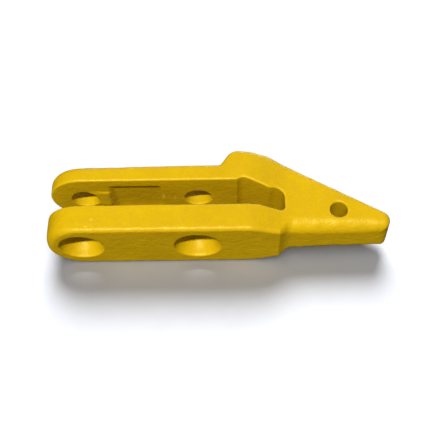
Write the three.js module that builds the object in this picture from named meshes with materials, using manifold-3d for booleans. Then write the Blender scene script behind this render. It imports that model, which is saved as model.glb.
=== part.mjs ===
// Bolt-on adapter for an excavator bucket tooth: one steel casting, lying on its side.
// Two straps grip the bucket's lip, two plow bolts clamp them to it, and a wedge-shaped nose
// carries the replaceable tooth point, which one pin through the nose holds on.
//
// While the casting is drawn, in millimetres:
//   X runs from the axis of the rear bolt hole (x = 0) forwards to the tip of the nose,
//   Y runs from the outer face of the thick strap (y = 0) to that of the thin strap and the pad,
//   Z runs across the width, from the side that it lies on (z = 0), and is the pin's direction.
// The exported group moves that frame's origin to the bottom centre of the casting's box.

import * as THREE from "three";
import { mergeVertices } from "three/addons/utils/BufferGeometryUtils.js";
import Module from "manifold-3d";

const wasm = await Module();
wasm.setup();

// Straps, for a 25 mm lip with 1 mm of clearance.
const WIDTH = 66;
const THICK_STRAP = 27;
const LIP_GAP = 26;
const THIN_STRAP = 17;
const STRAP_EDGE_RADIUS = 4;
const STRAP_END_EDGE_RADIUS = 10;

// Bolt holes, for 1 inch plow bolts whose 80 degree heads sink into the thick strap.
const BOLT_SPACING = 110;
const BOLT_HOLE_RADIUS = 13;
const COUNTERSINK_RADIUS = 22;
const COUNTERSINK_RIM = 1.5;
const COUNTERSINK_HALF_ANGLE = THREE.MathUtils.degToRad(40);

// Slot: what lies beyond the two flat lip seats, where the lip's nose goes in.
const SLOT_END_X = 192;
const SLOT_WEDGE_X = 178;
const SLOT_WEDGE_Y = 46.6;
const SLOT_WEDGE_ANGLE = THREE.MathUtils.degToRad(20.5);
const SLOT_RAMP_X = 168;
const SEAT_RELIEF_RADIUS = 8;
const SEAT_RELIEF_X = 153.4;
const SLOT_END_RADIUS = 9.4;
const SLOT_CORNER_RADIUS = 4.5;
const SLOT_CORNER_DEPTH = 3.2;

// Pad on the thin strap's side: the stop for the tooth point's rear edge.
const PAD_HEIGHT = 16.5;
const PAD_RAMP_X = 132;
const PAD_RAMP_SLOPE = 1.57;
const PAD_FALL_X = 146;
const PAD_FALL = 0.12;
const PAD_ROUNDING = 3;

// Nose: a wedge that narrows towards its tip.
const TIP_X = 289;
const TIP_FAR_Y = 20.2;
const TIP_HALF_WIDTH = 20.5;
const TIP_EDGE_RADIUS = 5;
const TIP_CORNER_RADIUS = 6;
const NOSE_START_X = 199;
const NOSE_HALF_WIDTH = 23.3;
const NOSE_FAR_SLOPE = 0.563;
const NOSE_NEAR_SET_BACK = 5.3;
const NOSE_NEAR_SLOPE = 0.0155;
const NOSE_NEAR_RADIUS = 11;
const NOSE_FAR_RADIUS = 5;
const SIDE_TAPER_START_X = 155;
const SHOULDER_START_X = 186.5;
const SHOULDER_END_X = 198;
const SHOULDER_SKEW = 0.6;
const PIN_HOLE_RADIUS = 8.25;
const PIN_X = 241.7;
const PIN_Y = 25.2;

// Shallow cast pocket in the thin strap's lip seat, between the bolt holes.
const POCKET = { startX: 26, endX: 75, margin: 11.5, depth: 3.2, cornerRadius: 4 };

const THIN_STRAP_SEAT = THICK_STRAP + LIP_GAP;
const THIN_STRAP_FACE = THIN_STRAP_SEAT + THIN_STRAP;
const PAD_FACE = THIN_STRAP_FACE + PAD_HEIGHT;
const HALF_WIDTH = WIDTH / 2;

// Facets: cuts run CLEAR past the faces that they open, and each edge's radius takes at most its
// share of the thickness, so that the near and the far edges never meet.
const CLEAR = 5;
const NEAR_EDGE_SHARE = 0.6;
const FAR_EDGE_SHARE = 0.25;
const CORNER_STEPS = 4;
const CURVE_STEPS = 8;
const HOLE_SIDES = 40;
const MERGE_DISTANCE = 1e-3;

// Blends from 0 at `start` to 1 at `end`, level at both.
function ease(value, start, end) {
  return THREE.MathUtils.smoothstep(value, start, end);
}

// The smaller of two heights, with the corner between them rounded over `reach`.
function roundedMin(a, b, reach) {
  const overlap = Math.max(reach - Math.abs(a - b), 0);
  return Math.min(a, b) - (overlap * overlap) / (4 * reach);
}

function roundedMax(a, b, reach) {
  return -roundedMin(-a, -b, reach);
}

// How far a quarter-round edge has dropped, `distance` before the face that it ends at.
function edgeDrop(distance, radius) {
  const inside = THREE.MathUtils.clamp(radius - distance, 0, radius);
  return radius - Math.sqrt(radius * radius - inside * inside);
}

// Outline of the far side: thin strap, ramp, pad, then the nose's long slope.
function farFace(x) {
  const ramp = THIN_STRAP_FACE + (x - PAD_RAMP_X) * PAD_RAMP_SLOPE;
  const pad = PAD_FACE - Math.max(x - PAD_FALL_X, 0) * PAD_FALL;
  const slope = TIP_FAR_Y + (TIP_X - x) * NOSE_FAR_SLOPE;
  if (x > SIDE_TAPER_START_X) return roundedMin(slope, pad, PAD_ROUNDING);
  return roundedMax(roundedMin(ramp, pad, PAD_ROUNDING), THIN_STRAP_FACE, PAD_ROUNDING);
}

// Outline of the near side: thick strap, a shoulder that turns tightly and then runs out slowly,
// and the nose's set-back face.
function nearFace(x) {
  const setBack = NOSE_NEAR_SET_BACK + (x - SHOULDER_END_X) * NOSE_NEAR_SLOPE;
  const along = THREE.MathUtils.clamp((x - SHOULDER_START_X) / (SHOULDER_END_X - SHOULDER_START_X), 0, 1);
  return ease(along ** SHOULDER_SKEW, 0, 1) * setBack;
}

// Half the width: round strap ends, straight straps, tapered shoulders, then the nose.
function halfWidth(x) {
  if (x < 0) return Math.max(Math.sqrt(HALF_WIDTH ** 2 - x ** 2), STRAP_EDGE_RADIUS / 2);
  if (x < NOSE_START_X)
    return HALF_WIDTH + (NOSE_HALF_WIDTH - HALF_WIDTH) * ease(x, SIDE_TAPER_START_X, NOSE_START_X);
  const along = (x - NOSE_START_X) / (TIP_X - NOSE_START_X);
  return THREE.MathUtils.lerp(NOSE_HALF_WIDTH, TIP_HALF_WIDTH, along);
}

// The rounded rectangle that the casting's outside follows at one x.
function section(x) {
  const endDrop = edgeDrop(x + HALF_WIDTH, STRAP_END_EDGE_RADIUS);
  const tipDrop = edgeDrop(TIP_X - x, TIP_EDGE_RADIUS);
  const near = nearFace(x) + endDrop + tipDrop;
  const far = farFace(x) - endDrop - tipDrop;
  const half = halfWidth(x) - edgeDrop(TIP_X - x, TIP_CORNER_RADIUS);
  const alongEnd = ease(x, -HALF_WIDTH, 0);
  const strapRadius = THREE.MathUtils.lerp(STRAP_END_EDGE_RADIUS, STRAP_EDGE_RADIUS, alongEnd);
  const radius = (noseRadius, noseward, share) =>
    Math.min(THREE.MathUtils.lerp(strapRadius, noseRadius, noseward), half, share * (far - near));
  const nearNoseward = ease(x, SHOULDER_START_X, NOSE_START_X);
  const farNoseward = ease(x, PAD_RAMP_X, SHOULDER_START_X);
  return {
    near,
    far,
    half,
    nearRadius: radius(NOSE_NEAR_RADIUS, nearNoseward, NEAR_EDGE_SHARE),
    farRadius: radius(NOSE_FAR_RADIUS, farNoseward, FAR_EDGE_SHARE),
  };
}

// Point `index` of the section's ring at one x. The ring runs round its four corners in turn.
function ringPoint(x, index) {
  const { near, far, half, nearRadius, farRadius } = section(x);
  const corner = Math.floor(index / (CORNER_STEPS + 1)) % 4;
  const turn = (index % (CORNER_STEPS + 1)) / CORNER_STEPS;
  const angle = (corner + turn) * (Math.PI / 2);
  const onFarSide = corner === 0 || corner === 3;
  const onUpperSide = corner < 2;
  const radius = onFarSide ? farRadius : nearRadius;
  const centreY = onFarSide ? far - radius : near + radius;
  const centreZ = HALF_WIDTH + (onUpperSide ? half - radius : radius - half);
  return new THREE.Vector3(x, centreY + radius * Math.cos(angle), centreZ + radius * Math.sin(angle));
}

// `count` values that run evenly from `start` up to, but not including, `end`.
function spread(start, end, count) {
  return Array.from({ length: count }, (_, i) => start + ((end - start) * i) / count);
}

// The x of every section, closer together where the outline curves.
function stations() {
  const strapEnd = spread(0, Math.PI / 2, 10).map((angle) => -HALF_WIDTH * Math.cos(angle));
  const tip = spread(0, Math.PI / 2, 6).map((angle) => TIP_X - TIP_CORNER_RADIUS * (1 - Math.sin(angle)));
  return [
    ...strapEnd,
    ...spread(0, PAD_RAMP_X - 3, 2),
    ...spread(PAD_RAMP_X - 3, SIDE_TAPER_START_X, 12),
    ...spread(SIDE_TAPER_START_X, NOSE_START_X, 20),
    ...spread(NOSE_START_X, TIP_X - TIP_CORNER_RADIUS, 4),
    ...tip,
    TIP_X,
  ];
}

// The casting's outside, without holes: a closed cylinder whose rings are moved to the sections.
function outsideGeometry() {
  const xs = stations();
  const sides = 4 * (CORNER_STEPS + 1);
  const geometry = new THREE.CylinderGeometry(1, 1, 1, sides, xs.length - 1);
  const position = geometry.attributes.position;
  for (let i = 0; i < position.count; i++) {
    const vertex = new THREE.Vector3().fromBufferAttribute(position, i);
    const x = xs[Math.round((0.5 + vertex.y) * (xs.length - 1))];
    const onAxis = Math.hypot(vertex.x, vertex.z) < 0.5;
    const around = Math.round((Math.atan2(vertex.x, vertex.z) / (2 * Math.PI)) * sides);
    const { near, far } = section(x);
    const moved = onAxis
      ? new THREE.Vector3(x, (near + far) / 2, HALF_WIDTH)
      : ringPoint(x, (around + sides) % sides);
    position.setXYZ(i, moved.x, moved.y, moved.z);
  }
  return geometry;
}

// Slot between the straps: its outline seen from the side, extruded across the whole width.
function slotGeometry() {
  const cornerY = THICK_STRAP - SLOT_CORNER_DEPTH + SLOT_CORNER_RADIUS;
  const cornerX = SLOT_END_X - SLOT_CORNER_RADIUS;
  // The ramp leaves the thick strap's seat and touches the corner's circle from below.
  const rampToCorner = new THREE.Vector2(cornerX - SLOT_RAMP_X, cornerY - THICK_STRAP);
  const rampFall = Math.asin(SLOT_CORNER_RADIUS / rampToCorner.length()) - rampToCorner.angle();
  const cornerStart = 1.5 * Math.PI - rampFall;
  const endX = SLOT_END_X - SLOT_END_RADIUS;
  const endStop = Math.acos((SLOT_WEDGE_X - endX) / SLOT_END_RADIUS);
  const endY = SLOT_WEDGE_Y - SLOT_END_RADIUS * Math.sin(endStop);
  // The relief's circle touches the wedge face and cuts the thin strap's seat.
  const wedgeAtReliefX = SLOT_WEDGE_Y + (SLOT_WEDGE_X - SEAT_RELIEF_X) * Math.tan(SLOT_WEDGE_ANGLE);
  const reliefY = wedgeAtReliefX - SEAT_RELIEF_RADIUS / Math.cos(SLOT_WEDGE_ANGLE);
  const reliefStart = Math.PI / 2 - SLOT_WEDGE_ANGLE;
  const reliefStop = Math.PI - Math.asin((THIN_STRAP_SEAT - reliefY) / SEAT_RELIEF_RADIUS);
  const outline = new THREE.Shape();
  outline.moveTo(-HALF_WIDTH - CLEAR, THIN_STRAP_SEAT);
  outline.lineTo(-HALF_WIDTH - CLEAR, THICK_STRAP);
  outline.lineTo(SLOT_RAMP_X, THICK_STRAP);
  outline.absarc(cornerX, cornerY, SLOT_CORNER_RADIUS, cornerStart, 2 * Math.PI, false);
  outline.absarc(endX, endY, SLOT_END_RADIUS, 0, endStop, false);
  outline.absarc(SEAT_RELIEF_X, reliefY, SEAT_RELIEF_RADIUS, reliefStart, reliefStop, false);
  outline.closePath();
  const depth = WIDTH + 2 * CLEAR;
  return new THREE.ExtrudeGeometry(outline, { depth, bevelEnabled: false, curveSegments: CURVE_STEPS })
    .translate(0, 0, -CLEAR);
}

// One bolt's way through both straps, with the countersink for its head.
function boltHoleGeometry(x) {
  const coneEnd = (COUNTERSINK_RADIUS - BOLT_HOLE_RADIUS) / Math.tan(COUNTERSINK_HALF_ANGLE);
  const profile = [
    new THREE.Vector2(0, -CLEAR),
    new THREE.Vector2(COUNTERSINK_RADIUS, -CLEAR),
    new THREE.Vector2(COUNTERSINK_RADIUS, COUNTERSINK_RIM),
    new THREE.Vector2(BOLT_HOLE_RADIUS, COUNTERSINK_RIM + coneEnd),
    new THREE.Vector2(BOLT_HOLE_RADIUS, THIN_STRAP_FACE + CLEAR),
    new THREE.Vector2(0, THIN_STRAP_FACE + CLEAR),
  ];
  return new THREE.LatheGeometry(profile, HOLE_SIDES).translate(x, 0, HALF_WIDTH);
}

// The cross hole for the tooth point's retaining pin.
function pinHoleGeometry() {
  return new THREE.CylinderGeometry(PIN_HOLE_RADIUS, PIN_HOLE_RADIUS, WIDTH, HOLE_SIDES)
    .rotateX(Math.PI / 2)
    .translate(PIN_X, PIN_Y, HALF_WIDTH);
}

// The pocket's outline in X and Z, extruded from inside the slot into the thin strap.
function pocketGeometry() {
  const { startX, endX, margin, depth, cornerRadius } = POCKET;
  const low = margin + cornerRadius;
  const high = WIDTH - margin - cornerRadius;
  const outline = new THREE.Shape();
  outline.absarc(endX - cornerRadius, low, cornerRadius, -Math.PI / 2, 0, false);
  outline.absarc(endX - cornerRadius, high, cornerRadius, 0, Math.PI / 2, false);
  outline.absarc(startX + cornerRadius, high, cornerRadius, Math.PI / 2, Math.PI, false);
  outline.absarc(startX + cornerRadius, low, cornerRadius, Math.PI, Math.PI * 1.5, false);
  outline.closePath();
  const options = { depth: depth + CLEAR, bevelEnabled: false, curveSegments: CORNER_STEPS };
  return new THREE.ExtrudeGeometry(outline, options)
    .rotateX(Math.PI / 2)
    .translate(0, THIN_STRAP_SEAT + depth, 0);
}

// A solid needs one closed surface, so vertices that only differ in normal or uv are merged.
function toSolid(geometry) {
  geometry.deleteAttribute("normal");
  geometry.deleteAttribute("uv");
  const merged = mergeVertices(geometry, MERGE_DISTANCE);
  return new wasm.Manifold(
    new wasm.Mesh({
      numProp: 3,
      vertProperties: merged.attributes.position.array,
      triVerts: new Uint32Array(merged.index.array),
    }),
  );
}

function toGeometry(solid) {
  const mesh = solid.getMesh();
  const geometry = new THREE.BufferGeometry();
  geometry.setAttribute("position", new THREE.BufferAttribute(mesh.vertProperties, 3));
  geometry.setIndex(new THREE.BufferAttribute(mesh.triVerts, 1));
  geometry.computeVertexNormals();
  return geometry;
}

function adapterCasting() {
  const cuts = [
    slotGeometry(),
    boltHoleGeometry(0),
    boltHoleGeometry(BOLT_SPACING),
    pinHoleGeometry(),
    pocketGeometry(),
  ];
  const solid = cuts.reduce((body, cut) => body.subtract(toSolid(cut)), toSolid(outsideGeometry()));
  const yellowEnamel = new THREE.MeshStandardMaterial({ color: 0xe0b21a, roughness: 0.45, metalness: 0 });
  const mesh = new THREE.Mesh(toGeometry(solid), yellowEnamel);
  mesh.name = "adapter_casting";
  return mesh;
}

const adapter = new THREE.Group();
adapter.add(adapterCasting());
adapter.position.set((HALF_WIDTH - TIP_X) / 2, -PAD_FACE / 2, 0);

export default adapter;
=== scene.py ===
import math

import bpy
import numpy as np
from mathutils import Matrix, Vector


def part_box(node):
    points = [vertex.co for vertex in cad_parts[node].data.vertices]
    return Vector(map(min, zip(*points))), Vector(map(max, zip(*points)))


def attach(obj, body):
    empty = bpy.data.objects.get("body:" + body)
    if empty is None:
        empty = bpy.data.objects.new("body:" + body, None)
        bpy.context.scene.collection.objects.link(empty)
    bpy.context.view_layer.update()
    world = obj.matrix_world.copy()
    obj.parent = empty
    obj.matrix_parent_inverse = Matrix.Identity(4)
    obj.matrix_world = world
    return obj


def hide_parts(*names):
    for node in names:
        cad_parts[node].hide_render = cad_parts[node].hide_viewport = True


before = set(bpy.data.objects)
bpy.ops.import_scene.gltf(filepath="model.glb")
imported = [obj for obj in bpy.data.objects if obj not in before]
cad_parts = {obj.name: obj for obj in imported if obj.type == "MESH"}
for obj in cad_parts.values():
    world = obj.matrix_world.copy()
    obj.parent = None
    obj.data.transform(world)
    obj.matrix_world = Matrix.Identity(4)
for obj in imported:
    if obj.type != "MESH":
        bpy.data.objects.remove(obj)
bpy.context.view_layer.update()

# A bolt-on excavator bucket tooth adapter: one steel casting under yellow enamel, lying on its side.
# The CAD node fixes its size and place. This script stands a finely meshed casting in its place, with
# its edge radii, hole rims, cast ledges and hand-dressed unevenness, and paints it.
#
# The casting's shape is a distance field in millimetres, negative inside the metal, in this frame:
#   x runs from the rear bolt hole's axis to the nose's tip, y from the thick strap's outer face to the
#   thin strap, and z up across the width, from the side that it lies on.

MM = 0.001
NODE = "adapter_casting"

# Straps and slot.
WIDTH = 66.0
HALF_WIDTH = WIDTH / 2
THICK_STRAP = 27.0
LIP_GAP = 26.0
THIN_STRAP = 17.0
THIN_SEAT = THICK_STRAP + LIP_GAP
THIN_FACE = THIN_SEAT + THIN_STRAP
STRAP_EDGE_RADIUS = 4.0
REST_EDGE_RADIUS = 2.4
EDGE_CHANGE = 12.0
STRAP_END_NEAR_RADIUS = 10.0
STRAP_END_REST_RADIUS = 5.0
STRAP_END_FAR_RADIUS = 7.0
STRAP_END_FAR_LENGTH = 150.0
SLOT_EDGE_RADIUS = 1.3
SLOT_END_EDGE_RADIUS = 0.5
SLOT_END_X = 192.0
SLOT_WEDGE = (178.0, 46.6)
SLOT_WEDGE_SLOPE = math.tan(math.radians(20.5))
SEAT_RELIEF = (153.4, 47.26, 8.0)
SLOT_END_ROUND = (182.6, 38.1, 9.4)
SLOT_CORNER_ROUND = (187.5, 28.3, 4.5)
SLOT_RAMP_X = 168.0

# Bolt holes, pin hole, cast pocket and the ledge beside it.
BOLT_SPACING = 110.0
BOLT_HOLE_RADIUS = 13.0
THIN_STRAP_HOLE_DROP = 1.4
COUNTERSINK_RADII = (21.0, 22.0)
COUNTERSINK_RIM = 1.5
COUNTERSINK_HALF_ANGLE = math.radians(40)
COUNTERSINK_LIP = 1.0
COUNTERSINK_BLEND = 7.0
BOLT_HOLE_LIP = 0.7
PIN_HOLE_LIP = 0.4
POCKET_LIP = 0.9
LEDGE_FILLET = 0.4
PIN_HOLE = (241.7, 25.2, 8.25)
POCKET = {"x": (23.5, 75.0), "z": (8.5, 54.5), "depth": (4.2, 2.6), "corner": 4.0, "draft": 0.5}
POCKET_RAMP = {"x": 26.0, "slope": 0.77, "foot": 1.0}
LEDGE = {"x": (6.0, 26.5), "z": (21.0, 45.0), "height": (0.5, 1.6)}

# Nicks in the paint, painted pale as small glints: centre and reach of each.
NICKS = (
    ((76.5, THIN_SEAT, 35.0), (1.3, 2.0, 4.0)),
    ((87.5, THIN_SEAT, 33.0), (0.9, 2.0, 2.5)),
    ((73.5, THIN_SEAT, 48.0), (1.0, 2.0, 1.0)),
    ((14.0, 12.0, WIDTH), (1.4, 0.8, 2.0)),
    ((9.0, 5.0, WIDTH), (1.0, 0.8, 2.0)),
)

# Pad, shoulder and nose.
PAD_FACE = THIN_FACE + 16.5
PAD_RAMP_X = 132.0
PAD_RAMP_SLOPE = 1.57
PAD_FALL_X = 150.0
PAD_FALL = 0.12
PAD_EDGE_RADIUS = 6.0
PAD_RAMP_ROUND = 7.0
PAD_SLOPE_ROUND = 2.5
PAD_FOOT_FILLET = 1.5
TIP_X = 289.0
TIP_FAR_Y = 20.2
TIP_HALF_WIDTH = 20.5
TIP_REST_CORNER_RADIUS = 6.0
TIP_TOP_CORNER_RADIUS = 6.0
NOSE_START_X = 199.0
NOSE_HALF_WIDTH = 23.3
NOSE_FAR_SLOPE = 0.563
NOSE_NEAR_SET_BACK = 5.3
NOSE_NEAR_SLOPE = 0.0155
NOSE_NEAR_RADIUS = 12.5
TIP_NEAR_RADIUS = 9.5
NOSE_REST_SHARE = 0.8
NOSE_FAR_RADIUS = 4.0
TIP_FAR_RADIUS = 2.6
SIDE_TAPER_START_X = 155.0
SHOULDER_START_X = 186.5
SHOULDER_END_X = 198.0
SHOULDER_SKEW = 0.6

# Mesh: the field is sampled every GRID_STEP. Unevenness comes from a lattice turned away from the axes.
GRID_STEP = 1.1
GRID_MARGIN = 3.0
CELL_CORNERS = [(i, j, k) for i in (0, 1) for j in (0, 1) for k in (0, 1)]
LONGEST_MOVE = 0.6 * GRID_STEP
STEEPNESS_FLOOR = 0.05
LATTICE_CELLS = 64
LATTICE_START = 7.0
LATTICE_TURN = Matrix.Rotation(math.radians(40), 3, Vector((1, 2, 3)))

# Unevenness of the cast skin: spacing and height of each layer in millimetres, and its seed.
UNEVENNESS = ((26.0, 0.06, 11), (9.0, 0.08, 12), (3.4, 0.08, 13))


# ---------------------------------------------------------------- distance field

def ease(value, start, end):
    t = np.clip((value - start) / (end - start), 0, 1)
    return t * t * (3 - 2 * t)


def lerp(a, b, t):
    return a + (b - a) * t


def round_max(a, b, radius):
    """The intersection of two fields, with its edge rounded to an arc of that radius."""
    arc = np.hypot(np.maximum(a + radius, 0), np.maximum(b + radius, 0))
    return np.minimum(np.maximum(a, b), -radius) + arc


def round_min(a, b, radius):
    """The union of two fields, with its inner corner filled by an arc of that radius."""
    return -round_max(-a, -b, radius)


def below_line(x, y, line_x, line_y, slope):
    """Distance above a sloping line through one point, in the plane of x and y."""
    return (y - line_y - (x - line_x) * slope) / math.hypot(1, slope)


def along_range(value, low_high):
    return np.clip((value - low_high[0]) / (low_high[1] - low_high[0]), 0, 1)


def disc(x, y, centre_x, centre_y, radius):
    return np.hypot(x - centre_x, y - centre_y) - radius


def rounded_box(u, v, low_high_u, low_high_v, corner):
    du = np.abs(u - sum(low_high_u) / 2) - (low_high_u[1] - low_high_u[0]) / 2
    dv = np.abs(v - sum(low_high_v) / 2) - (low_high_v[1] - low_high_v[0]) / 2
    return round_max(du, dv, corner)


def half_width(x):
    taper = lerp(HALF_WIDTH, NOSE_HALF_WIDTH, ease(x, SIDE_TAPER_START_X, NOSE_START_X))
    along = (x - NOSE_START_X) / (TIP_X - NOSE_START_X)
    return np.where(x < NOSE_START_X, taper, lerp(NOSE_HALF_WIDTH, TIP_HALF_WIDTH, along))


def near_face(x):
    set_back = NOSE_NEAR_SET_BACK + (x - SHOULDER_END_X) * NOSE_NEAR_SLOPE
    along = np.clip((x - SHOULDER_START_X) / (SHOULDER_END_X - SHOULDER_START_X), 0, 1)
    return ease(along ** SHOULDER_SKEW, 0, 1) * set_back


def sloped(height_of, x):
    """One over the length that a step of 1 in x makes along a curve, which turns height into distance."""
    rise = (height_of(x + 0.1) - height_of(x - 0.1)) / 0.2
    return 1 / np.hypot(1, rise)


def plan_field(x, z):
    """The outline seen along y: round strap ends, straight sides, tapered shoulders, nose and tip."""
    side = (np.abs(z - HALF_WIDTH) - half_width(x)) * sloped(half_width, x)
    strap_end = disc(x, z, 0, HALF_WIDTH, HALF_WIDTH)
    tip_radius = lerp(TIP_REST_CORNER_RADIUS, TIP_TOP_CORNER_RADIUS, ease(z, 0, WIDTH))
    return round_max(np.where(x < 0, strap_end, side), x - TIP_X, tip_radius)


def far_field(x, y):
    """The far side's outline: thin strap, ramp, pad, and the nose's long slope."""
    ramp = below_line(x, y, PAD_RAMP_X, THIN_FACE, PAD_RAMP_SLOPE)
    pad = y - PAD_FACE + np.maximum(x - PAD_FALL_X, 0) * PAD_FALL
    slope = below_line(x, y, TIP_X, TIP_FAR_Y, -NOSE_FAR_SLOPE)
    hump = round_max(round_max(ramp, pad, PAD_RAMP_ROUND), slope, PAD_SLOPE_ROUND)
    strap = np.maximum(y - THIN_FACE, x - SIDE_TAPER_START_X)
    return round_min(strap, hump, PAD_FOOT_FILLET)


def near_field(x, y):
    return (near_face(x) - y) * sloped(near_face, x)


def edge_wander(x, z):
    """Cast edges are not drawn with a ruler: the factor that their radius wanders by."""
    return 1 + 0.03 * np.sin(x / 7.3 + z / 19) + 0.04 * np.sin(x / 3.1 - z / 11 + 1.7)


def near_radius(x, z):
    """Radius of the edges round the near side, smaller where the casting rests on them."""
    upper = ease(z, HALF_WIDTH - EDGE_CHANGE, HALF_WIDTH + EDGE_CHANGE)
    along_end = ease(x, -HALF_WIDTH, 0)
    strap_end = lerp(STRAP_END_REST_RADIUS, STRAP_END_NEAR_RADIUS, upper)
    strap = lerp(strap_end, lerp(REST_EDGE_RADIUS, STRAP_EDGE_RADIUS, upper), along_end)
    nose = lerp(NOSE_NEAR_RADIUS, TIP_NEAR_RADIUS, ease(x, PIN_HOLE[0], TIP_X))
    nose = nose * lerp(NOSE_REST_SHARE, 1, upper)
    return lerp(strap, nose, ease(x, SHOULDER_START_X, NOSE_START_X))


def far_radius(x):
    along_strap = ease(x, -HALF_WIDTH, STRAP_END_FAR_LENGTH - HALF_WIDTH)
    strap = lerp(STRAP_END_FAR_RADIUS, STRAP_EDGE_RADIUS, along_strap)
    pad = lerp(strap, PAD_EDGE_RADIUS, ease(x, PAD_RAMP_X, SIDE_TAPER_START_X))
    nose = lerp(NOSE_FAR_RADIUS, TIP_FAR_RADIUS, ease(x, NOSE_START_X, TIP_X))
    return lerp(pad, nose, ease(x, SLOT_RAMP_X, NOSE_START_X))


def outside_field(x, y, z):
    wander = edge_wander(x, z)
    body = round_max(plan_field(x, z), near_field(x, y), near_radius(x, z) * wander)
    return round_max(body, far_field(x, y), far_radius(x) * wander)


def touching_slope(point_x, point_y, disc_x, disc_y, radius):
    """Slope of the line through a point that runs along the underside of a disc."""
    reach = math.hypot(disc_x - point_x, disc_y - point_y)
    return math.tan(math.atan2(disc_y - point_y, disc_x - point_x) - math.asin(radius / reach))


def slot_field(x, y):
    """The space between the straps, seen from the side: seats, relief, wedge and rounded end."""
    ramp_slope = touching_slope(SLOT_RAMP_X, THICK_STRAP, *SLOT_CORNER_ROUND)
    ramp = -below_line(x, y, SLOT_RAMP_X, THICK_STRAP, ramp_slope)
    low_side = np.minimum(THICK_STRAP - y, ramp)
    seats = np.maximum(np.maximum(THICK_STRAP - y, y - THIN_SEAT), x - SEAT_RELIEF[0])
    wedge_start = SEAT_RELIEF[0] + SEAT_RELIEF[2] * math.sin(math.atan(SLOT_WEDGE_SLOPE))
    wedge_face = below_line(x, y, *SLOT_WEDGE, -SLOT_WEDGE_SLOPE)
    wedge = np.maximum(np.maximum(wedge_face, low_side), x - SLOT_CORNER_ROUND[0])
    wedge = np.maximum(wedge, wedge_start - x)
    under_relief = np.abs(x - SEAT_RELIEF[0]) - SEAT_RELIEF[2]
    under_relief = np.maximum(np.maximum(THICK_STRAP - y, y - THIN_SEAT), under_relief)
    end = np.maximum(SLOT_CORNER_ROUND[1] - y, y - SLOT_END_ROUND[1])
    end = np.maximum(end, np.maximum(x - SLOT_END_X, SLOT_WEDGE[0] - x))
    slot = np.minimum(np.minimum(seats, under_relief), wedge)
    slot = np.minimum(slot, disc(x, y, *SEAT_RELIEF))
    rounds = np.minimum(disc(x, y, *SLOT_END_ROUND), disc(x, y, *SLOT_CORNER_ROUND))
    return round_min(slot, np.minimum(rounds, end), 1.0)


def bolt_hole_field(x, y, z, hole_x, head_radius):
    """One bolt's way through both straps, with its head's countersink blending into the bore."""
    drop = np.where(y < THICK_STRAP + LIP_GAP / 2, 0, THIN_STRAP_HOLE_DROP)
    radial = np.hypot(x - hole_x, z - HALF_WIDTH + drop)
    bore = radial - BOLT_HOLE_RADIUS
    narrowing = (y - COUNTERSINK_RIM) * math.tan(COUNTERSINK_HALF_ANGLE)
    cone = (radial - head_radius + narrowing) * math.cos(COUNTERSINK_HALF_ANGLE)
    head = round_max(cone, radial - head_radius, COUNTERSINK_LIP)
    return round_min(bore, head, COUNTERSINK_BLEND)


def pocket_field(x, y, z):
    """The shallow cast pocket in the thin strap's inner face: shallower upwards, ramped at its rear end."""
    below_seat = y - THIN_SEAT
    depth = lerp(*POCKET["depth"], along_range(z, POCKET["z"]))
    draft = np.clip(below_seat, 0, depth) * POCKET["draft"]
    outline = rounded_box(x, z, POCKET["x"], POCKET["z"], POCKET["corner"]) + draft
    ramp = below_line(x, y, POCKET_RAMP["x"], THIN_SEAT, POCKET_RAMP["slope"])
    floor = round_max(below_seat - depth, ramp, POCKET_RAMP["foot"])
    return np.maximum(outline, np.maximum(floor, -below_seat - LIP_GAP / 2))


def ledge_field(x, y, z):
    """A thin flat left by the casting's core on the same face, which grows towards the pocket."""
    height = lerp(*LEDGE["height"], along_range(x, LEDGE["x"]))
    return np.maximum(np.abs(y - THIN_SEAT) - height, rounded_box(x, z, LEDGE["x"], LEDGE["z"], 1.0))


def casting_field(x, y, z):
    """Distance to the casting's skin, negative inside the metal."""
    metal = outside_field(x, y, z)
    slot_edge = lerp(SLOT_EDGE_RADIUS, SLOT_END_EDGE_RADIUS, ease(x, SLOT_RAMP_X, SLOT_CORNER_ROUND[0]))
    metal = round_max(metal, -slot_field(x, y), slot_edge * edge_wander(x + 40, z))
    metal = round_min(metal, ledge_field(x, y, z), LEDGE_FILLET)
    metal = round_max(metal, -pocket_field(x, y, z), POCKET_LIP)
    for hole_x, head_radius in zip((0.0, BOLT_SPACING), COUNTERSINK_RADII):
        metal = round_max(metal, -bolt_hole_field(x, y, z, hole_x, head_radius), BOLT_HOLE_LIP)
    return round_max(metal, -disc(x, y, *PIN_HOLE), PIN_HOLE_LIP)


# ---------------------------------------------------------------- mesh from the field

def surface_net(field, step):
    """Vertices, one in every cell that the surface passes through, and quads between them."""
    inside = field < 0
    cells, number = crossed_cells(inside)
    return cell_vertices(field, cells) * step, crossing_quads(inside, number)


def crossed_cells(inside):
    """The cells with corners on both sides of the surface, and a grid that numbers them."""
    size = [n - 1 for n in inside.shape]
    filled = np.zeros(size, np.int8)
    for i, j, k in CELL_CORNERS:
        filled += inside[i:i + size[0], j:j + size[1], k:k + size[2]]
    cells = np.argwhere((filled > 0) & (filled < len(CELL_CORNERS)))
    number = -np.ones(size, np.int64)
    number[tuple(cells.T)] = np.arange(len(cells))
    return cells, number


def cell_vertices(field, cells):
    """The middle, for each cell, of the points where the surface cuts the cell's edges."""
    total = np.zeros((len(cells), 3))
    crossings = np.zeros(len(cells))
    for a in CELL_CORNERS:
        for axis in range(3):
            if a[axis]:
                continue
            b = list(a)
            b[axis] = 1
            va = field[tuple((cells + a).T)]
            vb = field[tuple((cells + b).T)]
            cut = (va < 0) != (vb < 0)
            t = va[cut] / (va[cut] - vb[cut])
            total[cut] += np.array(a, float) + np.outer(t, np.eye(3)[axis])
            crossings[cut] += 1
    return cells + total / crossings[:, None]


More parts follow.
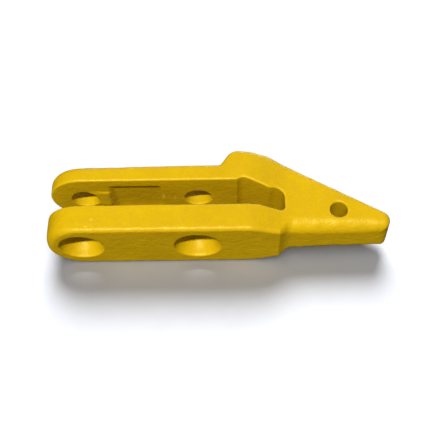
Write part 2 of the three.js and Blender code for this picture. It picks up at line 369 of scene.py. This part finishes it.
def crossing_quads(inside, number):
    """One quad round each grid edge that the surface cuts, facing out of the metal."""
    quads = []
    for axis in range(3):
        low = [slice(None)] * 3
        high = [slice(None)] * 3
        low[axis] = slice(None, -1)
        high[axis] = slice(1, None)
        a, b = inside[tuple(low)], inside[tuple(high)]
        edges = np.argwhere(a != b)
        outward = a[tuple(edges.T)]
        ring = []
        for du, dv in ((0, 0), (-1, 0), (-1, -1), (0, -1)):
            cell = edges.copy()
            cell[:, (axis + 1) % 3] += du
            cell[:, (axis + 2) % 3] += dv
            ring.append(number[tuple(cell.T)])
        ring = np.stack(ring, 1)
        ring[~outward] = ring[~outward][:, ::-1]
        quads.append(ring)
    return np.concatenate(quads)


def gradient(points, reach=0.05):
    """The field's slope at each point, by central differences."""
    slope = np.empty_like(points)
    for axis in range(3):
        ahead, behind = points.copy(), points.copy()
        ahead[:, axis] += reach
        behind[:, axis] -= reach
        slope[:, axis] = (casting_field(*ahead.T) - casting_field(*behind.T)) / (2 * reach)
    return slope


def onto_surface(points, rounds=4):
    """Moves points down the field's slope until they lie on the surface."""
    for _ in range(rounds):
        slope = gradient(points)
        steepness = np.maximum((slope ** 2).sum(1), STEEPNESS_FLOOR)
        move = slope * (casting_field(*points.T) / steepness)[:, None]
        length = np.linalg.norm(move, axis=1)
        move *= np.minimum(1, LONGEST_MOVE / np.maximum(length, 1e-9))[:, None]
        points = points - move
    return points


def lattice_noise(points, size, seed):
    """Smooth noise between -1 and 1, from seeded random values on a lattice with that spacing."""
    table = np.random.default_rng(seed).uniform(-1, 1, [LATTICE_CELLS] * 3)
    place = points @ np.array(LATTICE_TURN) / size + LATTICE_START
    base = np.floor(place).astype(int)
    t = place - base
    t = t * t * (3 - 2 * t)
    value = np.zeros(len(points))
    for i in (0, 1):
        for j in (0, 1):
            for k in (0, 1):
                weight = (
                    np.where(i, t[:, 0], 1 - t[:, 0])
                    * np.where(j, t[:, 1], 1 - t[:, 1])
                    * np.where(k, t[:, 2], 1 - t[:, 2])
                )
                corner = (base + (i, j, k)) % LATTICE_CELLS
                value += weight * table[tuple(corner.T)]
    return value


def cast_unevenness(points):
    """How far, in millimetres, a sand-cast and hand-dressed skin stands off its drawn shape."""
    return sum(lattice_noise(points, size, seed) * height for size, height, seed in UNEVENNESS)


def casting_mesh():
    low = np.array([-HALF_WIDTH, 0.0, 0.0]) - GRID_MARGIN
    high = np.array([TIP_X, PAD_FACE, WIDTH]) + GRID_MARGIN
    axes = [np.arange(a, b, GRID_STEP) for a, b in zip(low, high)]
    x, y, z = np.meshgrid(*axes, indexing="ij", sparse=True)
    field = np.broadcast_to(casting_field(x, y, z), [len(a) for a in axes])
    points, quads = surface_net(field, GRID_STEP)
    points = onto_surface(points + low)
    normals = gradient(points)
    normals /= np.linalg.norm(normals, axis=1)[:, None]
    points = points + normals * cast_unevenness(points)[:, None]
    points[:, 2] = np.maximum(points[:, 2], 0)
    return points, normals, quads


def casting_object():
    points, normals, quads = casting_mesh()
    node_low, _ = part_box(NODE)
    origin = np.array([node_low.x, node_low.y, node_low.z]) + np.array([HALF_WIDTH * MM, 0, 0])
    mesh = bpy.data.meshes.new("painted_casting")
    mesh.vertices.add(len(points))
    mesh.vertices.foreach_set("co", (points * MM + origin).astype(np.float32).ravel())
    mesh.loops.add(quads.size)
    mesh.loops.foreach_set("vertex_index", quads.astype(np.int32).ravel())
    mesh.polygons.add(len(quads))
    mesh.polygons.foreach_set("loop_start", np.arange(0, quads.size, 4, dtype=np.int32))
    mesh.polygons.foreach_set("use_smooth", np.ones(len(quads), bool))
    mesh.update(calc_edges=True)
    mesh.validate()
    add_shape_attributes(mesh, points, normals)
    obj = bpy.data.objects.new("painted_casting", mesh)
    bpy.context.scene.collection.objects.link(obj)
    return obj


def add_shape_attributes(mesh, points, normals, depth=3.0):
    """Stores, from 0 to 1, how far each vertex lies on an edge, in a corner and in a nick."""
    below = casting_field(*(points - depth * normals).T)
    above = casting_field(*(points + depth * normals).T)
    far_off = [np.linalg.norm((points - centre) / np.array(reach), axis=1) for centre, reach in NICKS]
    nick = 1.5 - np.min(far_off, axis=0)
    for name, value in (("edge", 1 + below / depth), ("corner", 1 - above / depth), ("nick", nick)):
        layer = mesh.attributes.new(name, "FLOAT", "POINT")
        layer.data.foreach_set("value", np.clip(value, 0, 1).astype(np.float32))


# ---------------------------------------------------------------- materials

ENAMEL = (0.445, 0.276, 0.0010, 1)
ENAMEL_LIGHT = (0.505, 0.318, 0.0014, 1)
ENAMEL_MOTTLE = (0.43, 0.245, 0.0006, 1)
# A lighter yellow laid along edges as a painted highlight.
ENAMEL_EDGE_HIGHLIGHT = (0.55, 0.36, 0.004, 1)
# A darker yellow laid in corners and hollows as painted shade.
ENAMEL_CORNER_SHADE = (0.32, 0.175, 0.0003, 1)
# A pale yellow for the nicks in the paint, painted as small glints.
ENAMEL_NICK_GLINT = (0.66, 0.47, 0.05, 1)
ENAMEL_GLOSS = (1.0, 0.95, 0.38, 1)
PAPER = (0.86, 0.88, 0.94, 1)
PAPER_LIGHT = (0.88, 0.90, 0.96, 1)


class Nodes:
    """A short way to write a node tree: each call adds a node and links what it is given."""

    def __init__(self, tree):
        self.tree = tree
        tree.nodes.clear()

    def add(self, kind, inputs=None, **settings):
        node = self.tree.nodes.new(kind)
        for key, value in settings.items():
            setattr(node, key, value)
        for key, value in (inputs or {}).items():
            if isinstance(value, bpy.types.NodeSocket):
                self.tree.links.new(value, node.inputs[key])
            else:
                node.inputs[key].default_value = value
        return node

    def noise(self, vector, scale, detail=3.0, roughness=0.5):
        inputs = {"Vector": vector, "Scale": scale, "Detail": detail, "Roughness": roughness}
        return self.add("ShaderNodeTexNoise", inputs).outputs["Fac"]

    def map_range(self, value, low, high, to_low, to_high):
        inputs = {"Value": value, "From Min": low, "From Max": high, "To Min": to_low, "To Max": to_high}
        return self.add("ShaderNodeMapRange", inputs).outputs["Result"]

    def math(self, operation, a, b=0.0):
        return self.add("ShaderNodeMath", {0: a, 1: b}, operation=operation).outputs[0]

    def mix(self, factor, a, b, blend="MIX"):
        node = self.add("ShaderNodeMix", data_type="RGBA", blend_type=blend)
        for index, value in ((0, factor), (6, a), (7, b)):
            if isinstance(value, bpy.types.NodeSocket):
                self.tree.links.new(value, node.inputs[index])
            else:
                node.inputs[index].default_value = value
        return node.outputs[2]

    def attribute(self, name):
        return self.add("ShaderNodeAttribute", attribute_name=name).outputs["Fac"]


def enamel_colour(n, place, mottle):
    """Broad patches and mottle, a painted highlight along edges, painted shade in corners, and nicks in the
    paint painted pale as small glints.
    """
    patchy = n.map_range(n.noise(place, 22.0, 2.0), 0.3, 0.7, 0, 1)
    colour = n.mix(patchy, ENAMEL, ENAMEL_LIGHT)
    colour = n.mix(n.map_range(mottle, 0.35, 0.70, 0, 0.6), colour, ENAMEL_MOTTLE)
    edge = n.map_range(n.attribute("edge"), 0.12, 0.5, 0, 1)
    # Painted highlight: edges turn lighter, broken up by the mottle.
    painted_edge_highlight = n.math("MULTIPLY", edge, n.map_range(mottle, 0.4, 0.6, 0, 0.45))
    colour = n.mix(painted_edge_highlight, colour, ENAMEL_EDGE_HIGHLIGHT)
    # Painted shade: corners and hollows turn darker.
    painted_corner_shade = n.map_range(n.attribute("corner"), 0.1, 0.7, 0, 0.45)
    colour = n.mix(painted_corner_shade, colour, ENAMEL_CORNER_SHADE)
    # The nicks in the paint are painted pale as small glints.
    return n.mix(n.math("MULTIPLY", n.attribute("nick"), 0.6), colour, ENAMEL_NICK_GLINT)


def enamel_bump(n, place, mottle):
    """The paint's orange peel and the cast skin's grain under it."""
    peel = n.noise(place, 420.0, 2.0, 0.4)
    grain = n.noise(place, 900.0, 3.0, 0.6)
    height = n.math("ADD", n.math("MULTIPLY", peel, 0.5), n.math("MULTIPLY", grain, 0.3))
    height = n.math("ADD", height, n.math("MULTIPLY", mottle, 0.6))
    bump = n.add("ShaderNodeBump", {"Height": height, "Strength": 0.8, "Distance": 0.0008})
    return bump.outputs["Normal"]


def enamel_material():
    """Yellow enamel sprayed over an as-cast steel skin."""
    material = bpy.data.materials.new("yellow_enamel")
    material.use_nodes = True
    n = Nodes(material.node_tree)
    place = n.add("ShaderNodeTexCoord").outputs["Object"]
    mottle = n.noise(place, 140.0, 4.0, 0.6)
    inputs = {
        "Base Color": enamel_colour(n, place, mottle),
        "Roughness": n.map_range(mottle, 0.3, 0.7, 0.34, 0.50),
        "Normal": enamel_bump(n, place, mottle),
        "IOR": 1.5,
        "Specular IOR Level": 0.3,
        "Specular Tint": ENAMEL_GLOSS,
    }
    shader = n.add("ShaderNodeBsdfPrincipled", inputs)
    n.add("ShaderNodeOutputMaterial", {"Surface": shader.outputs["BSDF"]})
    return material


def floor_material():
    material = bpy.data.materials.new("studio_floor")
    material.use_nodes = True
    n = Nodes(material.node_tree)
    place = n.add("ShaderNodeTexCoord").outputs["Object"]
    fibres = n.map_range(n.noise(place, 60.0, 3.0), 0.3, 0.7, 0, 1)
    inputs = {"Base Color": n.mix(fibres, PAPER, PAPER_LIGHT), "Roughness": 0.9, "Specular IOR Level": 0.1}
    shader = n.add("ShaderNodeBsdfPrincipled", inputs)
    n.add("ShaderNodeOutputMaterial", {"Surface": shader.outputs["BSDF"]})
    return material


# ---------------------------------------------------------------- studio

CAMERA_PLACE = (0.01587, -0.37016, 0.70459)
CAMERA_PITCH = math.radians(61.80)
CAMERA_YAW = math.radians(-2.81)
CAMERA_ROLL = math.radians(-3.285)
CAMERA_LENS = 66.51


def studio_floor():
    mesh = bpy.data.meshes.new("studio_floor")
    reach = 6.0
    corners = [(-reach, -reach, 0), (reach, -reach, 0), (reach, reach, 0), (-reach, reach, 0)]
    mesh.from_pydata(corners, [], [(0, 1, 2, 3)])
    mesh.materials.append(floor_material())
    floor = bpy.data.objects.new("studio_floor", mesh)
    floor.visible_diffuse = False
    floor.visible_glossy = False
    bpy.context.scene.collection.objects.link(floor)
    return floor


def add_camera():
    forward = Vector((
        math.cos(CAMERA_PITCH) * math.sin(CAMERA_YAW),
        math.cos(CAMERA_PITCH) * math.cos(CAMERA_YAW),
        -math.sin(CAMERA_PITCH),
    ))
    level = Vector((math.cos(CAMERA_YAW), -math.sin(CAMERA_YAW), 0))
    upward = level.cross(forward)
    right = level * math.cos(CAMERA_ROLL) + upward * math.sin(CAMERA_ROLL)
    up = upward * math.cos(CAMERA_ROLL) - level * math.sin(CAMERA_ROLL)
    data = bpy.data.cameras.new("camera")
    data.lens = CAMERA_LENS
    data.sensor_width = 36.0
    data.clip_start = 0.01
    camera = bpy.data.objects.new("camera", data)
    turn = Matrix((right, up, -forward)).transposed().to_4x4()
    camera.matrix_world = Matrix.Translation(CAMERA_PLACE) @ turn
    bpy.context.scene.collection.objects.link(camera)
    bpy.context.scene.camera = camera


def add_sun(name, towards, strength, spread, lit):
    """A soft distant light that comes from the direction `towards` and falls on the object `lit`."""
    data = bpy.data.lights.new(name, "SUN")
    data.energy = strength
    data.angle = math.radians(spread)
    light = bpy.data.objects.new(name, data)
    light.rotation_euler = Vector(towards).to_track_quat("Z", "Y").to_euler()
    bpy.context.scene.collection.objects.link(light)
    light_only(light, lit)


def light_only(light, lit):
    receivers = bpy.data.collections.new(light.name + "_receivers")
    receivers.objects.link(lit)
    light.light_linking.receiver_collection = receivers


def studio_world(light, backdrop):
    """An even white room: `light` is what it gives, `backdrop` how bright it looks behind the object."""
    world = bpy.data.worlds.new("studio")
    world.use_nodes = True
    n = Nodes(world.node_tree)
    room = n.add("ShaderNodeBackground", {"Color": (1, 1, 1, 1), "Strength": light})
    seen = n.add("ShaderNodeBackground", {"Color": (1, 1, 1, 1), "Strength": backdrop})
    direct = n.add("ShaderNodeLightPath").outputs["Is Camera Ray"]
    mixed = n.add("ShaderNodeMixShader", {0: direct, 1: room.outputs[0], 2: seen.outputs[0]})
    n.add("ShaderNodeOutputWorld", {"Surface": mixed.outputs[0]})
    world.cycles_visibility.glossy = False
    bpy.context.scene.world = world


casting = casting_object()
casting.data.materials.append(enamel_material())
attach(casting, "root")
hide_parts(NODE)

add_camera()
add_sun("key", (-0.12, -0.35, 0.93), 5.25, 3, lit=casting)
add_sun("left_fill", (-0.60, -0.33, 0.73), 0.3, 60, lit=casting)
add_sun("front_fill", (-0.30, -0.90, 0.30), 0.38, 40, lit=casting)
add_sun("back_fill", (0.25, 1.0, 0.0), 2.6, 40, lit=casting)
floor = studio_floor()
add_sun("floor_key", (0.0, 0.62, 0.78), 3.5, 30, lit=floor)
add_sun("floor_fill", (0.0, -0.3, 0.95), 0.6, 60, lit=floor)
studio_world(light=0.13, backdrop=1.0)
bpy.context.scene.view_settings.view_transform = "Standard"
